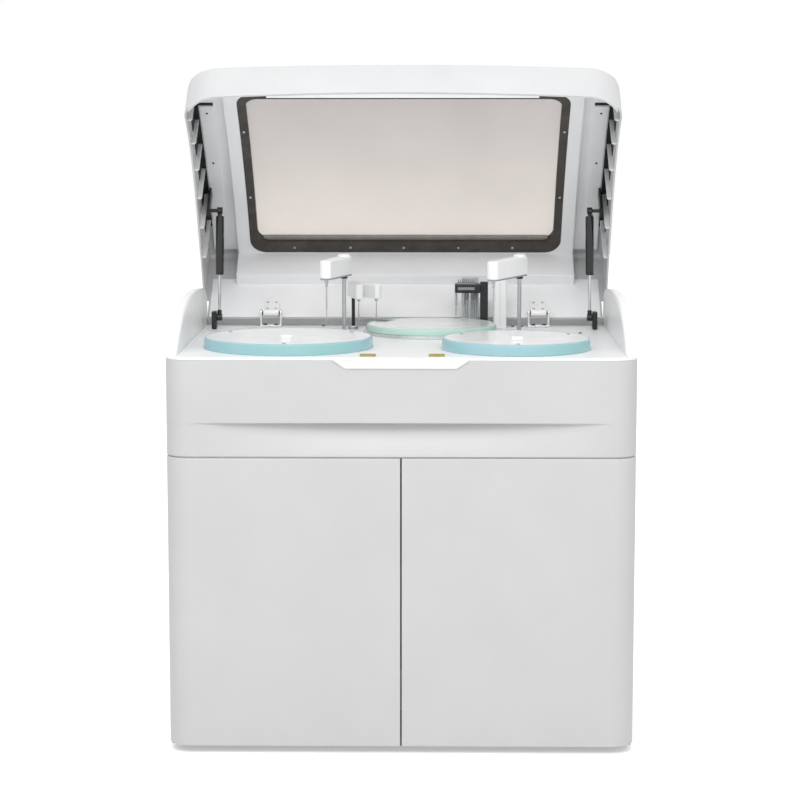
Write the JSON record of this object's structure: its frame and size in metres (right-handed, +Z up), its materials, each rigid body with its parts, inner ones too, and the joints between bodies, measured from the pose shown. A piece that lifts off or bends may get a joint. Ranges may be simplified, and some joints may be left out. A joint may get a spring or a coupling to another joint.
{
  "type": "floor-standing chemistry analyzer",
  "caption": "Floor-standing chemistry analyzer: two-door cabinet, deck with sample, reagent and reaction discs, probes, mixer and wash head under a windowed lid on gas struts.",
  "frame": {"origin": "on the floor, under the middle of the machine as it stands with its lid open", "axes": "+Z up, +X to the right seen from the front, +Y to the back"},
  "size_m": [0.98, 0.8392, 1.4383],
  "materials": {
    "cabinet_paint": "satin light grey",
    "door_skin": "satin light grey, moulded foam core",
    "white_plastic": "satin white",
    "liner_plastic": "fine matt texture",
    "window_pane": "smoked clear sheet",
    "window_gasket": "matt",
    "cyan_cover": "tinted clear",
    "green_cover": "tinted clear",
    "black_metal": "satin black",
    "steel": "fine brushed",
    "light_alloy": "bead blasted",
    "grey_plastic": "matt",
    "foot_rubber": "matt",
    "tank_plastic": "milky"
  },
  "bodies": {
    "cabinet": {"base_frame": "black_metal", "left_front_foot": "foot_rubber", "left_rear_foot": "foot_rubber", "right_front_foot": "foot_rubber", "right_rear_foot": "foot_rubber", "left_side_panel": "cabinet_paint", "right_side_panel": "cabinet_paint", "rear_panel": "cabinet_paint", "front_panel": "cabinet_paint", "instrument_plate": "light_alloy", "power_supply": "light_alloy", "water_tank": "tank_plastic", "deck_tray": "white_plastic", "left_cheek": "white_plastic", "right_cheek": "white_plastic", "sample_bowl": "grey_plastic", "sample_drive": "black_metal", "reagent_bowl": "grey_plastic", "reagent_drive": "black_metal", "reaction_bowl": "light_alloy", "reaction_drive": "black_metal", "reaction_cover": "green_cover", "sample_lift_guide": "steel", "reagent_lift_guide": "steel", "mixer_lift_guide": "steel", "mixer_wash_well": "grey_plastic", "wash_column": "black_metal", "tube_manifold": "light_alloy", "tube_cover": "white_plastic", "left_hinge_bracket": "light_alloy", "right_hinge_bracket": "light_alloy", "left_strut_bracket": "black_metal", "right_strut_bracket": "black_metal"},
    "lid": {"lid_shell": "white_plastic", "lid_liner": "liner_plastic", "lid_window": "window_pane", "lid_gasket": "window_gasket", "lid_grip_strip": "grey_plastic", "left_hinge_leaf": "light_alloy", "right_hinge_leaf": "light_alloy"},
    "left_strut_rod": {"left_strut_rod": "steel"},
    "left_strut_cylinder": {"left_strut_cylinder": "black_metal"},
    "right_strut_rod": {"right_strut_rod": "steel"},
    "right_strut_cylinder": {"right_strut_cylinder": "black_metal"},
    "left_door": {"left_door": "door_skin"},
    "right_door": {"right_door": "door_skin"},
    "sample_rotor": {"sample_rotor": "grey_plastic"},
    "reagent_rotor": {"reagent_rotor": "grey_plastic"},
    "reaction_rotor": {"reaction_rotor": "grey_plastic"},
    "sample_cover": {"sample_cover": "cyan_cover"},
    "reagent_cover": {"reagent_cover": "cyan_cover"},
    "sample_carriage": {"sample_lift_carriage": "light_alloy"},
    "sample_probe": {"sample_probe_arm": "white_plastic", "sample_probe_needle": "steel"},
    "reagent_carriage": {"reagent_lift_carriage": "light_alloy"},
    "reagent_probe": {"reagent_probe_arm": "white_plastic", "reagent_probe_needle": "steel"},
    "mixer_carriage": {"mixer_lift_carriage": "light_alloy"},
    "mixer": {"mixer_arm": "white_plastic"},
    "wash_head": {"wash_head": "grey_plastic"}
  },
  "joints": [
    {"name": "lid_hinge", "type": "hinge", "parent": "cabinet", "child": "lid", "pos_m": [0, 0.23293, 0.87], "axis": [-1, 0, 0], "range_deg": [-54.5, 0]},
    {"name": "left_strut_swing", "type": "hinge", "parent": "cabinet", "child": "left_strut_rod", "pos_m": [-0.427, 0.17293, 0.865], "axis": [-1, 0, 0], "range_deg": [-58.4, 0]},
    {"name": "left_strut_slide", "type": "slide", "parent": "left_strut_rod", "child": "left_strut_cylinder", "axis": [0, 0.1552, 0.9879], "range_m": [-0.0535, 0]},
    {"name": "right_strut_swing", "type": "hinge", "parent": "cabinet", "child": "right_strut_rod", "pos_m": [0.427, 0.17293, 0.865], "axis": [-1, 0, 0], "range_deg": [-58.4, 0]},
    {"name": "right_strut_slide", "type": "slide", "parent": "right_strut_rod", "child": "right_strut_cylinder", "axis": [0, 0.1552, 0.9879], "range_m": [-0.0535, 0]},
    {"name": "left_door_hinge", "type": "hinge", "parent": "cabinet", "child": "left_door", "pos_m": [-0.478, -0.37207, 0.32], "axis": [0, 0, -1], "range_deg": [0, 100]},
    {"name": "right_door_hinge", "type": "hinge", "parent": "cabinet", "child": "right_door", "pos_m": [0.478, -0.37207, 0.32], "axis": [0, 0, 1], "range_deg": [0, 100]},
    {"name": "sample_rotor_spin", "type": "hinge", "parent": "cabinet", "child": "sample_rotor", "pos_m": [-0.244, -0.20807, 0.8], "axis": [0, 0, 1], "continuous": true},
    {"name": "reagent_rotor_spin", "type": "hinge", "parent": "cabinet", "child": "reagent_rotor", "pos_m": [0.243, -0.23607, 0.8], "axis": [0, 0, 1], "continuous": true},
    {"name": "reaction_rotor_spin", "type": "hinge", "parent": "cabinet", "child": "reaction_rotor", "pos_m": [0.062, 0.08293, 0.8], "axis": [0, 0, 1], "continuous": true},
    {"name": "sample_cover_lift", "type": "slide", "parent": "cabinet", "child": "sample_cover", "axis": [0, 0, 1], "range_m": [0, 0.04]},
    {"name": "reagent_cover_lift", "type": "slide", "parent": "cabinet", "child": "reagent_cover", "axis": [0, 0, 1], "range_m": [0, 0.04]},
    {"name": "sample_probe_lift", "type": "slide", "parent": "cabinet", "child": "sample_carriage", "axis": [0, 0, 1], "range_m": [-0.06, 0]},
    {"name": "sample_probe_turn", "type": "hinge", "parent": "sample_carriage", "child": "sample_probe", "pos_m": [-0.134, 0.04293, 0.9], "axis": [0, 0, 1], "range_deg": [0, 79]},
    {"name": "reagent_probe_lift", "type": "slide", "parent": "cabinet", "child": "reagent_carriage", "axis": [0, 0, 1], "range_m": [-0.06, 0]},
    {"name": "reagent_probe_turn", "type": "hinge", "parent": "reagent_carriage", "child": "reagent_probe", "pos_m": [0.26, 0.04293, 0.9], "axis": [0, 0, -1], "range_deg": [0, 41]},
    {"name": "mixer_lift", "type": "slide", "parent": "cabinet", "child": "mixer_carriage", "axis": [0, 0, 1], "range_m": [-0.04, 0]},
    {"name": "mixer_turn", "type": "hinge", "parent": "mixer_carriage", "child": "mixer", "pos_m": [-0.118, 0.17893, 0.9], "axis": [0, 0, 1], "range_deg": [0, 31]},
    {"name": "wash_head_lift", "type": "slide", "parent": "cabinet", "child": "wash_head", "axis": [0, 0, 1], "range_m": [-0.03, 0]}
  ],
  "couplings": [
    {"joint": "left_strut_swing", "follows": "lid_hinge", "ratio": 1.0703},
    {"joint": "left_strut_slide", "follows": "lid_hinge", "m_per_rad": 0.0559},
    {"joint": "right_strut_swing", "follows": "lid_hinge", "ratio": 1.0703},
    {"joint": "right_strut_slide", "follows": "lid_hinge", "m_per_rad": 0.0559}
  ]
}
